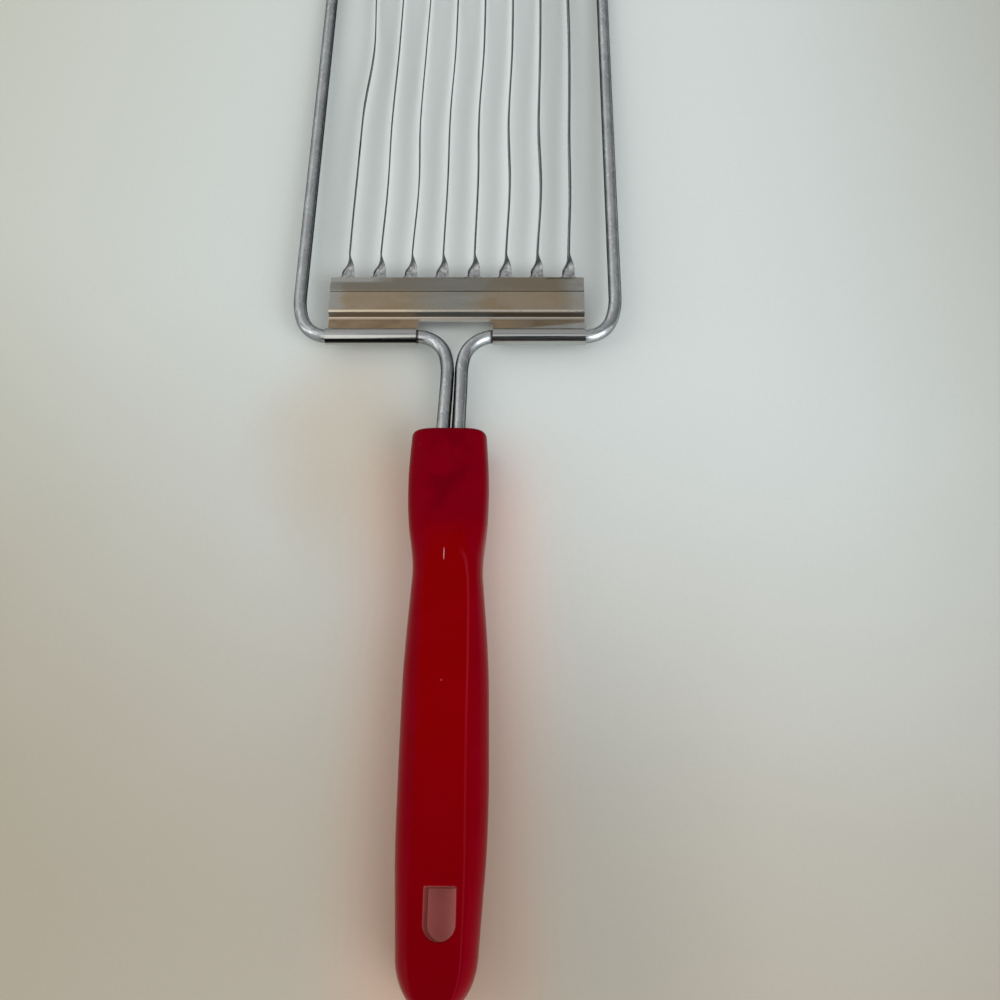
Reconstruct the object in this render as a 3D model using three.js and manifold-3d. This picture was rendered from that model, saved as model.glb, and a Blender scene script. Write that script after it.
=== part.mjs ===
// Tomato slicer: a bent wire frame with both ends set in a moulded handle, and a blade unit
// stamped from one stainless sheet, whose strips are twisted on edge to make eight blades.
// Millimetres. X runs across the slicer, Y from the handle to the far end of the frame, Z up.
// Every piece is built about the wire's middle plane, with Y = 0 on the near cross run of the
// wire. The whole is shifted at the end, so that the handle's underside lies at Z = 0 and the
// origin is under the middle of the slicer.
import * as THREE from "three";
import { mergeVertices } from "three/addons/utils/BufferGeometryUtils.js";
import Module from "manifold-3d";

const wasm = await Module();
wasm.setup();
const radians = THREE.MathUtils.degToRad;

// Wire frame
const wireDiameter = 3.2;
const frameReach = 147; // middle of the near cross run to middle of the far one
const cornerRadius = 6; // the two far corners, at the middle of the wire
const nearCornerRadius = 7; // the two near corners are bent tight first
const nearCornerTurn = radians(70);
const nearCornerEase = 20; // and then in a slack bend into the rail
const neckRadius = 7.6; // the bend from the cross run into the neck
const closingRadius = 22; // the slack bend that brings the two wires side by side
const neckLean = radians(12); // how far off the axis the wire still runs between these bends
const tangSpread = radians(0.5); // the two wires part a little on their way into the handle
const tangGap = 0.1; // between the two wires where they come closest
const neckLength = 27.7; // near cross run to the front of the handle
const tangDepth = 70; // how far the wire runs into the handle
// The neck and the handle don't stand quite in line with the frame: how far their middle lies to
// the right, as shares of the handle's width, from the near cross run to the tip of the tail.
const swayShares = {
  along: [0, 0.041, 0.081, 0.115, 0.142, 0.188, 0.237, 0.298, 0.352, 0.406, 0.474, 0.542, 0.643, 0.745, 0.846, 0.914, 1],
  right: [0, -0.007, -0.009, -0.016, -0.024, -0.0326, -0.031, -0.027, -0.0196, -0.0087, -0.0016, 0.0043, 0.0109, 0.0152, 0.0098, 0.0043, 0],
};

// Blade unit
const sheetThickness = 0.35;
const plateMargin = 4; // from the middle of the last blade to the end of the plate
const plateOffset = -0.2; // the strips don't stand quite in the middle of the plate
const platePlay = 2.8; // how much longer the straight rod is than the plate's rolled edge on it
const plateReach = 17.3; // from the rod inside the rolled edge to the edge that the blades leave
const creaseDistance = 3.8; // from the blades' edge to the crease across the plate
const creaseDrop = 0.2;
const stepDistance = 7.1; // from the rod to the middle of the step that takes the plate under it
const stepRun = 0.6; // how far the step leans towards the rod on its way down
const stepBend = 0.45; // bends at its top and foot, at the middle of the sheet
const rollClearance = 0.1; // between the rod and the sheet rolled round it
const lipAngle = radians(20); // where the rolled sheet stops, above the plate
const cutoutMargin = 0.05; // the cut-out for the neck ends this far outside the neck's bends
const cutoutShort = 0.65; // and on its right side it stops this much short of that
const cutoutDepth = 5.5; // from the rod to the edge of the cut-out

// Blades
const bladeCount = 8;
const bladePitch = 7.9;
const bladeDepth = 3.1; // the strip's width, which stands on edge as the blade's depth
const twistLength = 6;
const twistLean = radians(8); // the strips are twisted to this much short of upright
const rootRadius = 0.6; // fillet where a strip leaves the plate
const toothPitch = 2.5;
const toothDepth = 0.45;
const cuttingEdge = 0.12; // thickness left at the ground lower edge
// The blades are bent a little from use. Each row holds a blade's sideways bow as shares of the
// pitch: near the handle, at the middle and towards the far end.
const bowShares = [
  [-0.005, -0.025, 0.12],
  [0.05, -0.01, 0.01],
  [0.075, -0.04, -0.025],
  [0.025, -0.03, 0.02],
  [0.03, -0.04, 0.02],
  [0.08, -0.025, 0.02],
  [0.11, 0, 0.01],
  [0.07, 0.045, 0.04],
];
const bowPlaceShares = [0.24, 0.48, 0.68];
const bowReachShare = 0.22;

// Handle
const handleLength = 120;
const handleWidth = 18.4;
const handleThickness = 12.4; // between the flat faces on top and underneath
const swellThickness = 15.2; // what the rounded section would reach without its flat faces
const frontRound = 1.3; // edge round the front face
const tailLength = 10; // the rounded tail, seen from above
const tailEdgeRadius = 4.2; // the tail's edge, seen from the side
const tipFlat = 0.1; // the tail is flat from here to its tip
const boreClearance = 0.15; // between the wire and its bore in the handle
const holeWidth = 6.2; // the hang hole, square towards the blades and round at the other end
const holeLength = 9.7;
const holeDistance = 12.8; // from the hang hole to the tip of the tail
const holeCornerRadius = 0.4;
const holeOffset = 0.55; // the hole lies this far to the right of the handle's middle
// Half width and half height along the handle, as shares of its length and of the half sizes.
const outlineShares = {
  along: [0, 0.08, 0.14, 0.19, 0.25, 0.28, 0.32, 0.38, 0.46, 0.56, 0.68, 0.76, 0.84, 0.92, 1],
  width: [0.93, 0.983, 0.98, 0.943, 0.85, 0.836, 0.868, 0.924, 0.978, 0.996, 1, 0.978, 0.918, 0.852, 0.8],
};
const heightShares = {
  along: [0, 0.05, 0.13, 0.2, 0.2414, 0.27, 0.32, 0.42, 0.55, 0.7, 0.85, 1],
  height: [0.811, 0.795, 0.754, 0.775, 0.816, 0.871, 0.914, 0.934, 0.941, 0.947, 0.98, 1],
};
const squareness = { along: [0, 0.15, 0.26, 0.4, 1], power: [4.2, 4, 3, 2.3, 2.2] };

// Steps
const wireSides = 16;
const bendSteps = 8;
const tangSteps = 16;
const rollSteps = 18;
const stepSteps = 3;
const twistSteps = 8;
const handleSides = 36;
const handleSteps = 34;
const roundSteps = 5;
const cutOverrun = 1; // how far a cutting shape reaches past what it cuts

const wireRadius = wireDiameter / 2;
const plateWidth = (bladeCount - 1) * bladePitch + 2 * plateMargin;
const cornerX = (plateWidth + platePlay) / 2; // where the bends start on the far cross run
const railX = cornerX + cornerRadius;

const wireMetal = new THREE.MeshStandardMaterial({ color: 0x9b9fa2, metalness: 0.9, roughness: 0.38 });
const stainless = new THREE.MeshStandardMaterial({ color: 0xb7aea0, metalness: 1, roughness: 0.3 });
const bladeSteel = new THREE.MeshStandardMaterial({ color: 0xaaa59b, metalness: 1, roughness: 0.32 });
const redPlastic = new THREE.MeshStandardMaterial({ color: 0xa00912, metalness: 0, roughness: 0.22 });

// A closed solid for joining and cutting, from a closed geometry.
function solidOf(geometry) {
  const bare = geometry.clone();
  bare.deleteAttribute("normal");
  bare.deleteAttribute("uv");
  const welded = mergeVertices(bare);
  return new wasm.Manifold(
    new wasm.Mesh({
      numProp: 3,
      vertProperties: welded.attributes.position.array,
      triVerts: new Uint32Array(welded.index.array),
    }),
  );
}

function geometryOf(solid) {
  const mesh = solid.getMesh();
  const geometry = new THREE.BufferGeometry();
  geometry.setAttribute("position", new THREE.BufferAttribute(mesh.vertProperties, 3));
  geometry.setIndex(new THREE.BufferAttribute(mesh.triVerts, 1));
  geometry.computeVertexNormals();
  return geometry;
}

// A skin over rings of points, each ring running clockwise as seen from where the rings start,
// closed by a flat cap at both ends.
function loft(rings) {
  const sides = rings[0].length;
  const positions = rings.flat().flatMap((point) => point.toArray());
  const index = [];
  for (let ring = 0; ring < rings.length - 1; ring++) {
    for (let side = 0; side < sides; side++) {
      const here = ring * sides + side;
      const beside = ring * sides + ((side + 1) % sides);
      index.push(here, beside, here + sides, beside, beside + sides, here + sides);
    }
  }
  const last = (rings.length - 1) * sides;
  for (let side = 1; side < sides - 1; side++) {
    index.push(0, side + 1, side, last, last + side, last + side + 1);
  }
  const geometry = new THREE.BufferGeometry();
  geometry.setAttribute("position", new THREE.Float32BufferAttribute(positions, 3));
  geometry.setIndex(index);
  geometry.computeVertexNormals();
  return geometry;
}

function smoothCurve(places, values) {
  const curve = new THREE.CubicInterpolant(places, values, 1, new Float32Array(1));
  return (place) => curve.evaluate(place)[0];
}

// The wire as a bender works it: straight runs and turns, with the heading measured from +Y
// towards +X. It keeps one station at the end of each run and several round each turn.
class BentWire extends THREE.Curve {
  constructor(x, y, heading) {
    super();
    this.heading = heading;
    this.stations = [];
    this.mark(x, y);
  }
  mark(x, y) {
    this.x = x;
    this.y = y;
    this.stations.push({ point: new THREE.Vector3(x, y, 0), heading: this.heading });
  }
  run(length) {
    this.mark(this.x + length * Math.sin(this.heading), this.y + length * Math.cos(this.heading));
  }
  turn(radius, angle, steps) {
    const part = angle / steps;
    const chord = 2 * radius * Math.sin(Math.abs(part) / 2);
    for (let step = 0; step < steps; step++) {
      const along = this.heading + part / 2;
      this.heading += part;
      this.mark(this.x + chord * Math.sin(along), this.y + chord * Math.cos(along));
    }
  }
  // Moves every station sideways by what is found at its Y.
  swayed(sway) {
    this.stations.forEach(({ point }) => (point.x += sway(point.y)));
    return this;
  }
  // The same wire and then its mirror image, as one run.
  mirrored() {
    const other = this.stations.map(({ point, heading }) => ({
      point: new THREE.Vector3(-point.x, point.y, 0),
      heading: -Math.PI - heading,
    }));
    this.stations.push(...other.reverse().slice(1));
    return this;
  }
  stationAt(share) {
    return this.stations[Math.round(share * (this.stations.length - 1))];
  }
  getPointAt(share) {
    return this.stationAt(share).point.clone();
  }
  getTangentAt(share) {
    const { heading } = this.stationAt(share);
    return new THREE.Vector3(Math.sin(heading), Math.cos(heading), 0);
  }
  tube(radius) {
    const section = new THREE.Shape().absarc(0, 0, radius, 0, 2 * Math.PI);
    return new THREE.ExtrudeGeometry(section, {
      steps: this.stations.length - 1,
      curveSegments: wireSides / 2,
      extrudePath: this,
    });
  }
}

// Where the neck's bends end on the cross run, and where the two wires come closest.
const closestX = wireRadius + tangGap / 2;
const neckRunX = closestX + closingRadius * (1 - Math.cos(neckLean)) + neckRadius * Math.cos(neckLean);
const closestY = -closingRadius * Math.sin(neckLean) - neckRadius * (1 - Math.sin(neckLean));

// How far the middle of the neck or the handle lies to the right at this Y.
function swayAt(y) {
  const share = THREE.MathUtils.clamp(-y / (neckLength + handleLength), 0, 1);
  return smoothCurve(swayShares.along, swayShares.right)(share) * handleWidth;
}

// One side of the wire, from the end of its tang to the middle of the far cross run.
function halfWire(tangEndY) {
  const partingX = closestX + closingRadius * (1 - Math.cos(tangSpread));
  const partingY = closestY - closingRadius * Math.sin(tangSpread);
  const tangRun = (partingY - tangEndY) / Math.cos(tangSpread);
  const wire = new BentWire(partingX + tangRun * Math.sin(tangSpread), tangEndY, -tangSpread);
  for (let step = 0; step < tangSteps; step++) {
    wire.run(tangRun / tangSteps);
  }
  wire.turn(closingRadius, tangSpread + neckLean, bendSteps / 2);
  wire.turn(neckRadius, Math.PI / 2 - neckLean, bendSteps);
  const tight = Math.sin(nearCornerTurn);
  wire.run(railX - nearCornerRadius * tight - nearCornerEase * (1 - tight) - neckRunX);
  wire.turn(nearCornerRadius, -nearCornerTurn, bendSteps);
  wire.turn(nearCornerEase, nearCornerTurn - Math.PI / 2, bendSteps / 2);
  wire.run(frameReach - cornerRadius - wire.y);
  wire.turn(cornerRadius, -Math.PI / 2, bendSteps);
  wire.run(cornerX);
  return wire;
}

function frameWire() {
  const wire = halfWire(-neckLength - tangDepth).mirrored().swayed(swayAt);
  return new THREE.Mesh(wire.tube(wireRadius), wireMetal);
}

// The handle: a rounded section that swells and narrows along its length, with flat faces on
// top and underneath, a shallow thumb rest behind its front edge, and a hang hole.
function handleRing(distance) {
  const share = distance / handleLength;
  const width = smoothCurve(outlineShares.along, outlineShares.width)(share) * (handleWidth / 2);
  const height = smoothCurve(heightShares.along, heightShares.height)(share) * (swellThickness / 2);
  const power = smoothCurve(squareness.along, squareness.power)(share);
  const fromTip = Math.max(handleLength - distance, tipFlat);
  const frontInset = frontRound - Math.sqrt(frontRound ** 2 - Math.max(frontRound - distance, 0) ** 2);
  const tailShare = Math.sqrt(1 - Math.max(1 - fromTip / tailLength, 0) ** 2);
  const edgeInset = tailEdgeRadius - Math.sqrt(tailEdgeRadius ** 2 - Math.max(tailEdgeRadius - fromTip, 0) ** 2);
  const halfWidth = width * tailShare - frontInset;
  const halfHeight = height - frontInset - edgeInset;
  const y = -neckLength - distance;
  const middleX = swayAt(y);
  return Array.from({ length: handleSides }, (_, side) => {
    const angle = ((side + 0.5) / handleSides) * 2 * Math.PI;
    const across = Math.sign(Math.cos(angle)) * Math.abs(Math.cos(angle)) ** (2 / power);
    const up = Math.sign(Math.sin(angle)) * Math.abs(Math.sin(angle)) ** (2 / power);
    return new THREE.Vector3(middleX + across * halfWidth, y, up * halfHeight);
  });
}

// Stations along the handle: close together over the front edge and over the tail.
function handleStations() {
  const stations = [];
  for (let step = 0; step < roundSteps; step++) {
    stations.push(frontRound * (1 - Math.cos((step / roundSteps) * (Math.PI / 2))));
  }
  const body = handleLength - frontRound - tailLength;
  for (let step = 0; step < handleSteps; step++) {
    stations.push(frontRound + (body * step) / handleSteps);
  }
  const tailSteps = 2 * roundSteps;
  for (let step = 0; step < tailSteps; step++) {
    stations.push(handleLength - tailLength * (1 - Math.sin((step / tailSteps) * (Math.PI / 2))));
  }
  stations.push(handleLength);
  return stations;
}

function hangHole() {
  const radius = holeWidth / 2;
  const squareEnd = holeLength - radius;
  const inner = radius - holeCornerRadius;
  const outline = new THREE.Shape();
  outline.absarc(0, 0, radius, Math.PI, 2 * Math.PI);
  outline.absarc(inner, squareEnd - holeCornerRadius, holeCornerRadius, 0, Math.PI / 2);
  outline.absarc(-inner, squareEnd - holeCornerRadius, holeCornerRadius, Math.PI / 2, Math.PI);
  const depth = handleThickness + 2 * cutOverrun;
  const cut = new THREE.ExtrudeGeometry(outline, { depth, bevelEnabled: false, curveSegments: bendSteps });
  const roundEndY = -neckLength - handleLength + holeDistance + radius;
  return cut.translate(swayAt(roundEndY) + holeOffset, roundEndY, -depth / 2);
}

function handle() {
  const body = solidOf(loft(handleStations().map(handleRing)));
  const slab = new THREE.BoxGeometry(2 * handleWidth, 3 * handleLength, handleThickness);
  const leftBore = new BentWire(0, 0, 0);
  const rightBore = halfWire(-neckLength - tangDepth - boreClearance);
  leftBore.stations = rightBore.stations.map(({ point, heading }) => ({
    point: new THREE.Vector3(-point.x, point.y, 0),
    heading: -heading,
  }));
  rightBore.swayed(swayAt);
  leftBore.swayed(swayAt);
  const made = body
    .intersect(solidOf(slab))
    .subtract(solidOf(hangHole()))
    .subtract(solidOf(rightBore.tube(wireRadius + boreClearance)))
    .subtract(solidOf(leftBore.tube(wireRadius + boreClearance)));
  return new THREE.Mesh(geometryOf(made), redPlastic);
}

// A bend in the section in place of a sharp corner: points on the arc that touches both sides.
function bentCorner(before, corner, after, radius) {
  const into = corner.clone().sub(before).normalize();
  const out = after.clone().sub(corner).normalize();
  const turn = Math.atan2(into.cross(out), into.dot(out));
  const start = corner.clone().addScaledVector(into, -radius * Math.tan(Math.abs(turn) / 2));
  const inward = new THREE.Vector2(-into.y, into.x).multiplyScalar(radius * Math.sign(turn));
  const centre = start.clone().add(inward);
  return Array.from({ length: stepSteps + 1 }, (_, step) =>
    start.clone().rotateAround(centre, (turn * step) / stepSteps),
  );
}

// The plate's section across the rod, as the middle line of the sheet: points of (Y, Z) from the
// edge that the blades leave, over the crease, down the step and round the rod to the lip.
function plateLine() {
  const rollRadius = wireRadius + rollClearance + sheetThickness / 2;
  const creaseY = plateReach - creaseDistance;
  const creaseFoot = new THREE.Vector2(creaseY - creaseDrop, -creaseDrop);
  const stepTop = new THREE.Vector2(stepDistance + stepRun / 2, -creaseDrop);
  const stepFoot = new THREE.Vector2(stepDistance - stepRun / 2, -rollRadius);
  const rollStart = new THREE.Vector2(0, -rollRadius);
  const line = [
    new THREE.Vector2(plateReach, 0),
    new THREE.Vector2(creaseY, 0),
    creaseFoot,
    ...bentCorner(creaseFoot, stepTop, stepFoot, stepBend),
    ...bentCorner(stepTop, stepFoot, rollStart, stepBend),
  ];
  for (let step = 0; step <= rollSteps; step++) {
    const angle = THREE.MathUtils.lerp(-Math.PI / 2, lipAngle - 2 * Math.PI, step / rollSteps);
    line.push(new THREE.Vector2(rollRadius * Math.cos(angle), rollRadius * Math.sin(angle)));
  }
  return line;
}

// The outline of a sheet of even thickness about its middle line.
function sheetOutline(line) {
  const upper = [];
  const lower = [];
  line.forEach((point, place) => {
    const before = line[Math.max(place - 1, 0)];
    const after = line[Math.min(place + 1, line.length - 1)];
    const into = point.clone().sub(before).normalize();
    const out = after.clone().sub(point).normalize();
    const along = into.clone().add(out).normalize();
    const bend = place > 0 && place < line.length - 1 ? along.dot(out) : 1;
    const normal = new THREE.Vector2(-along.y, along.x).multiplyScalar(sheetThickness / 2 / bend);
    upper.push(point.clone().add(normal));
    lower.push(point.clone().sub(normal));
  });
  return new THREE.Shape([...upper, ...lower.reverse()]);
}

// A plate as wide as the blade unit, with its rolled edge on the rod at Y = 0.
function rolledPlate() {
  const options = { depth: plateWidth, bevelEnabled: false };
  const plate = new THREE.ExtrudeGeometry(sheetOutline(plateLine()), options);
  const turned = new THREE.Matrix4().makeBasis(
    new THREE.Vector3(0, 1, 0),
    new THREE.Vector3(0, 0, 1),
    new THREE.Vector3(1, 0, 0),
  );
  return plate.applyMatrix4(turned).translate(plateOffset - plateWidth / 2, 0, 0);
}

// The near plate, open in the middle where the wire bends down into the neck.
function lowerEndPlate() {
  const width = 2 * (neckRunX + cutoutMargin) - cutoutShort;
  const outer = 2 * (wireDiameter + cutOverrun);
  const cut = new THREE.BoxGeometry(width, cutoutDepth + outer, outer);
  cut.translate(-cutoutShort / 2, (cutoutDepth - outer) / 2, 0);
  return new THREE.Mesh(geometryOf(solidOf(rolledPlate()).subtract(solidOf(cut))), stainless);
}

// The far plate has slid along its straight rod until its rolled edge meets the corner bend.
const farPlateShift = Math.max(platePlay / 2 - plateOffset - rollClearance, 0);

function upperEndPlate() {
  const plate = new THREE.Mesh(rolledPlate(), stainless);
  plate.rotation.z = Math.PI;
  plate.position.set(farPlateShift + 2 * plateOffset, frameReach, 0);
  return plate;
}

// How far a blade stands sideways from its place on the near plate, a share along its length.
function bladeBow(share, bows) {
  const drift = farPlateShift * THREE.MathUtils.smoothstep(share, 0, 1);
  const bowed = bows.map((bow, place) => {
    const away = Math.min(Math.abs(share - bowPlaceShares[place]) / bowReachShare, 1);
    return bow * bladePitch * Math.cos((away * Math.PI) / 2) ** 2;
  });
  return bowed.reduce((sum, each) => sum + each, drift);
}

// One blade: a strip that leaves the near plate flat, with a fillet, twists on edge, runs as a
// toothed blade, and twists back to meet the far plate flat.
function blade(number) {
  const length = frameReach - 2 * plateReach;
  const teeth = Math.floor((length - 2 * (twistLength + 2 * rootRadius)) / toothPitch);
  const toothed = teeth * toothPitch;
  const places = [];
  for (let step = 0; step < roundSteps; step++) {
    places.push(rootRadius * (1 - Math.cos((step / roundSteps) * (Math.PI / 2))));
  }
  for (let step = 0; step < twistSteps; step++) {
    places.push(rootRadius + (twistLength * step) / twistSteps);
  }
  const ends = places.map((place) => length - place).reverse();
  for (let tooth = 0; tooth <= 2 * teeth; tooth++) {
    places.push((length - toothed) / 2 + (tooth * toothPitch) / 2);
  }
  places.push(...ends);
  const nominalX = (number - (bladeCount - 1) / 2) * bladePitch;
  const bows = bowShares[number % bowShares.length];
  const rings = places.map((place, station) => {
    const fromEnd = Math.min(place, length - place);
    const twist = THREE.MathUtils.smoothstep(fromEnd, rootRadius, rootRadius + twistLength);
    const angle = twist * (Math.PI / 2 - twistLean);
    const fillet = rootRadius - Math.sqrt(rootRadius ** 2 - Math.max(rootRadius - fromEnd, 0) ** 2);
    const tooth = station - (roundSteps + twistSteps);
    const isNotch = tooth > 0 && tooth < 2 * teeth && tooth % 2 === 1;
    const upper = bladeDepth / 2 + fillet;
    const lower = bladeDepth / 2 + fillet - (isNotch ? toothDepth : 0);
    const edge = THREE.MathUtils.lerp(sheetThickness, cuttingEdge, twist) / 2;
    const back = sheetThickness / 2;
    const up = new THREE.Vector3(Math.cos(angle), 0, Math.sin(angle));
    const side = new THREE.Vector3(-Math.sin(angle), 0, Math.cos(angle));
    const middle = new THREE.Vector3(nominalX + bladeBow(place / length, bows), plateReach + place, 0);
    const corner = (height, out) => middle.clone().addScaledVector(up, height).addScaledVector(side, out);
    return [corner(upper, -back), corner(-lower, -edge), corner(-lower, edge), corner(upper, back)];
  });
  return new THREE.Mesh(loft(rings), bladeSteel);
}

function named(mesh, name) {
  mesh.name = name;
  return mesh;
}

const slicer = new THREE.Group();
slicer.add(named(frameWire(), "frame_wire"));
slicer.add(named(handle(), "handle"));
slicer.add(named(lowerEndPlate(), "lower_end_plate"));
slicer.add(named(upperEndPlate(), "upper_end_plate"));
for (let number = 0; number < bladeCount; number++) {
  slicer.add(named(blade(number), "blade_" + (number + 1)));
}
const tailY = -neckLength - handleLength;
const farY = frameReach + wireRadius + rollClearance + sheetThickness;
slicer.position.set(0, -(tailY + farY) / 2, handleThickness / 2);

const group = new THREE.Group();
group.add(slicer);

export default group;
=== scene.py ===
# Tomato slicer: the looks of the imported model, built in its own frame. Metres, with X across the
# slicer, Y from the handle to the far end of the frame, and Z up.
import math

import bmesh
import bpy
from mathutils import Color, Matrix, Vector


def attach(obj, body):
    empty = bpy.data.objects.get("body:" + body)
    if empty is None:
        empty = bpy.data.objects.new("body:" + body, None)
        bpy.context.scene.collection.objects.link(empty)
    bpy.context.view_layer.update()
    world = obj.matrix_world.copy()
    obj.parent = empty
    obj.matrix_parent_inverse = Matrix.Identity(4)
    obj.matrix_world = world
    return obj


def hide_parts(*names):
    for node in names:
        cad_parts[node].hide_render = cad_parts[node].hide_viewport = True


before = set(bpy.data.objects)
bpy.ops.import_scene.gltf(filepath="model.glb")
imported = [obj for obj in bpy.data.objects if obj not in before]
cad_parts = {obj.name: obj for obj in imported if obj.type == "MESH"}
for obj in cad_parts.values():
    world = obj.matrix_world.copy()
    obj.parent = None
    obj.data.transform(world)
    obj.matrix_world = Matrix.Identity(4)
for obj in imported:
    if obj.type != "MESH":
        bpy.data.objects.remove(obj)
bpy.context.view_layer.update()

# Camera
# It is held over the middle of the handle and looks down at the near end plate, so that the far
# end of the frame runs out of the top of the picture.
lens_place = Vector((0.014919, -0.134225, 0.213491))
lens_aim = Vector((0.011104, -0.044042, 0.0062))
camera_roll = math.radians(-2.042)
film_width = 36.0
focal_length = 36.0

camera = bpy.data.objects.new("camera", bpy.data.cameras.new("camera"))
camera.data.sensor_width = film_width
camera.data.lens = focal_length
camera.data.clip_start = 0.01
aimed = (lens_aim - lens_place).to_track_quat("-Z", "Y").to_matrix()
turned = aimed @ Matrix.Rotation(camera_roll, 3, "Z")
camera.matrix_world = Matrix.Translation(lens_place) @ turned.to_4x4()
bpy.context.collection.objects.link(camera)
bpy.context.scene.camera = camera
bpy.context.scene.view_settings.view_transform = "Standard"

# Table and light
# A pale laminate table. The slicer's weight lies ahead of its handle, so it tips forward onto
# its far end, and the table is set at that slope. The light is a plain room: a pale ceiling
# with a soft lamp, a window behind the right shoulder, and the dim side that the viewer stands on.
handle_front_edge = -0.0284
table_slope = 0.0238
table_size = 3.0
table_far_colour = (230, 235, 231)
table_near_colour = (194, 185, 168)
table_slant = 0.27
# Tints of painted shade and light on the table, of the handle's painted red bounce light, and of a
# warmer patch left of the neck
left_painted_shade_tint = (0.84, 0.8, 0.68, 1)
right_painted_shade_tint = (0.62, 0.59, 0.53, 1)
handle_bounce_tint = (1.2, 0.97, 0.9, 1)
handle_shade_tint = (0.88, 0.89, 0.9, 1)
cutout_shade_tint = (0.64, 0.64, 0.64, 1)
between_blades_light_tint = (1.26, 1.26, 1.26, 1)
neck_patch_tint = (0.93, 0.83, 0.74, 1)
neck_patch_place = (-0.023, -0.021, 0)
hole_bounce_tint = (0.98, 0.33, 0.29, 1)
room_strength = 1.04


def seen(red, green, blue):
    """A colour as it is seen, in steps of 255, made ready for a shader."""
    return (*Color((red / 255, green / 255, blue / 255)).from_srgb_to_scene_linear(), 1.0)


def grey(value):
    return (value, value, value, 1)


def add(tree, kind, inputs=None, **settings):
    """A new node in the tree, its inputs set to values or linked to other nodes' outputs."""
    made = tree.nodes.new(kind)
    for name, value in settings.items():
        setattr(made, name, value)
    set_on(made, inputs or {})
    return made


def set_on(node, inputs):
    """Sets or links several of a node's inputs."""
    for socket, value in inputs.items():
        if isinstance(value, bpy.types.NodeSocket):
            node.id_data.links.new(value, node.inputs[socket])
        else:
            node.inputs[socket].default_value = value


def result(kind, inputs, output=0, **settings):
    """What a new node makes of other nodes' outputs, in the same tree as theirs."""
    trees = (value.id_data for value in inputs.values() if isinstance(value, bpy.types.NodeSocket))
    return add(next(trees), kind, inputs, **settings).outputs[output]


def maths(operation, *values):
    return result("ShaderNodeMath", dict(enumerate(values)), operation=operation)


def plus(first, *others):
    for other in others:
        first = maths("ADD", first, other)
    return first


def minus(first, second):
    return maths("SUBTRACT", first, second)


def times(first, *others):
    for other in others:
        first = maths("MULTIPLY", first, other)
    return first


def gap(value, middle=0):
    """How far a value lies from a middle, to either side."""
    return maths("ABSOLUTE", minus(value, middle) if middle else value)


def parts_of(place):
    """The three numbers of a place."""
    return add(place.id_data, "ShaderNodeSeparateXYZ", {"Vector": place}).outputs


def place_at(*numbers):
    return result("ShaderNodeCombineXYZ", dict(enumerate(numbers)))


def away_from(place, middle):
    return result("ShaderNodeVectorMath", {0: place, 1: middle}, "Value", operation="DISTANCE")


def eased(value, low, high, at_low=0.0, at_high=1.0):
    """Runs smoothly from at_low to at_high while the value goes from low to high."""
    inputs = {
        "Value": value,
        "From Min": low,
        "From Max": high,
        "To Min": at_low,
        "To Max": at_high,
    }
    return result("ShaderNodeMapRange", inputs, interpolation_type="SMOOTHSTEP")


def within(value, outer_low, inner_low, inner_high, outer_high):
    """1 between the inner limits, fading to 0 at the outer ones."""
    return times(eased(value, outer_low, inner_low), eased(value, outer_high, inner_high))


def mixed(share, first, second, blend="MIX"):
    """A colour between two others, or one laid over the other."""
    inputs = {0: share, 6: first, 7: second}
    return result("ShaderNodeMix", inputs, 2, data_type="RGBA", blend_type=blend)


def painted(colour, *layers):
    """A colour with others laid over it, each as its share and its colour."""
    for share, layer in layers:
        colour = mixed(share, colour, layer)
    return colour


def tinted(share, colour, tint):
    """A colour multiplied by a tint, as far as the share says."""
    return mixed(share, colour, mixed(1.0, colour, tint, "MULTIPLY"))


def cloudy(place, scale, detail=2.0, roughness=0.5, distortion=0.0):
    """Smooth random cloudiness, 0 to 1, about 1 / scale metres across."""
    inputs = {"Vector": place, "Scale": scale, "Detail": detail, "Roughness": roughness}
    return result("ShaderNodeTexNoise", {**inputs, "Distortion": distortion})


def stretched(place, along):
    """The same place, squeezed along each axis, so that a pattern on it is drawn out."""
    return result("ShaderNodeMapping", {"Vector": place, "Scale": along})


def bumped(height, strength, distance):
    """The surface's tilt from a pattern of small heights."""
    return result("ShaderNodeBump", {"Height": height, "Strength": strength, "Distance": distance})


def new_finish(name):
    """An empty material, with its shader and the place on the piece."""
    material = bpy.data.materials.new(name)
    material.use_nodes = True
    tree = material.node_tree
    place = add(tree, "ShaderNodeTexCoord").outputs["Object"]
    return material, tree.nodes["Principled BSDF"], place


def linked_piece(name, mesh):
    """A finished mesh as an object at the origin."""
    piece = bpy.data.objects.new(name, mesh)
    bpy.context.collection.objects.link(piece)
    return piece


def settled(piece, **settings):
    """The mesh of an object as its modifiers leave it. The object is removed."""
    graph = bpy.context.evaluated_depsgraph_get()
    evaluated = piece.evaluated_get(graph)
    mesh = bpy.data.meshes.new_from_object(evaluated, depsgraph=graph, **settings)
    bpy.data.objects.remove(piece)
    return mesh


def smooth_up_to(mesh, angle):
    """Shades a mesh smooth, but for the edges that turn by more than the angle."""
    mesh.shade_smooth()
    mesh.set_sharp_from_angle(angle=angle)


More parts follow.
